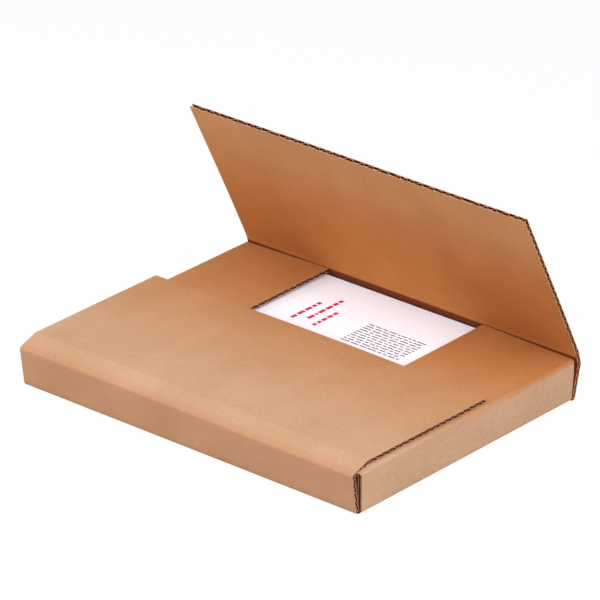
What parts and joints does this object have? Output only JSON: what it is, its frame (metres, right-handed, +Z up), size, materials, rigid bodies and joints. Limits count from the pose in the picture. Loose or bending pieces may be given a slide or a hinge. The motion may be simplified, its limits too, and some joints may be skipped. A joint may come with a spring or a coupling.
{
  "type": "wraparound mailer",
  "caption": "Flat corrugated board mailer folded from one sheet round a book, with its lid flap standing open.",
  "frame": {"origin": "middle of the flat underside of the base, between the outer faces of its four walls", "axes": "+X along the front from left to right, +Y from the front to the hinge of the lid, +Z up"},
  "size_m": [0.2947, 0.2295, 0.1524],
  "materials": {
    "kraft_board": "matt brown kraft liner",
    "white_paper": "smooth white paper"
  },
  "bodies": {
    "mailer_body": {"folded_board": "kraft_board", "packed_book": "white_paper"},
    "lid": {"lid_flap": "kraft_board"}
  },
  "joints": [
    {"name": "lid_hinge", "type": "hinge", "parent": "mailer_body", "child": "lid", "pos_m": [0.002, 0.11138, 0.03552], "axis": [-1, 0, 0], "range_deg": [-62.4, 108]}
  ]
}
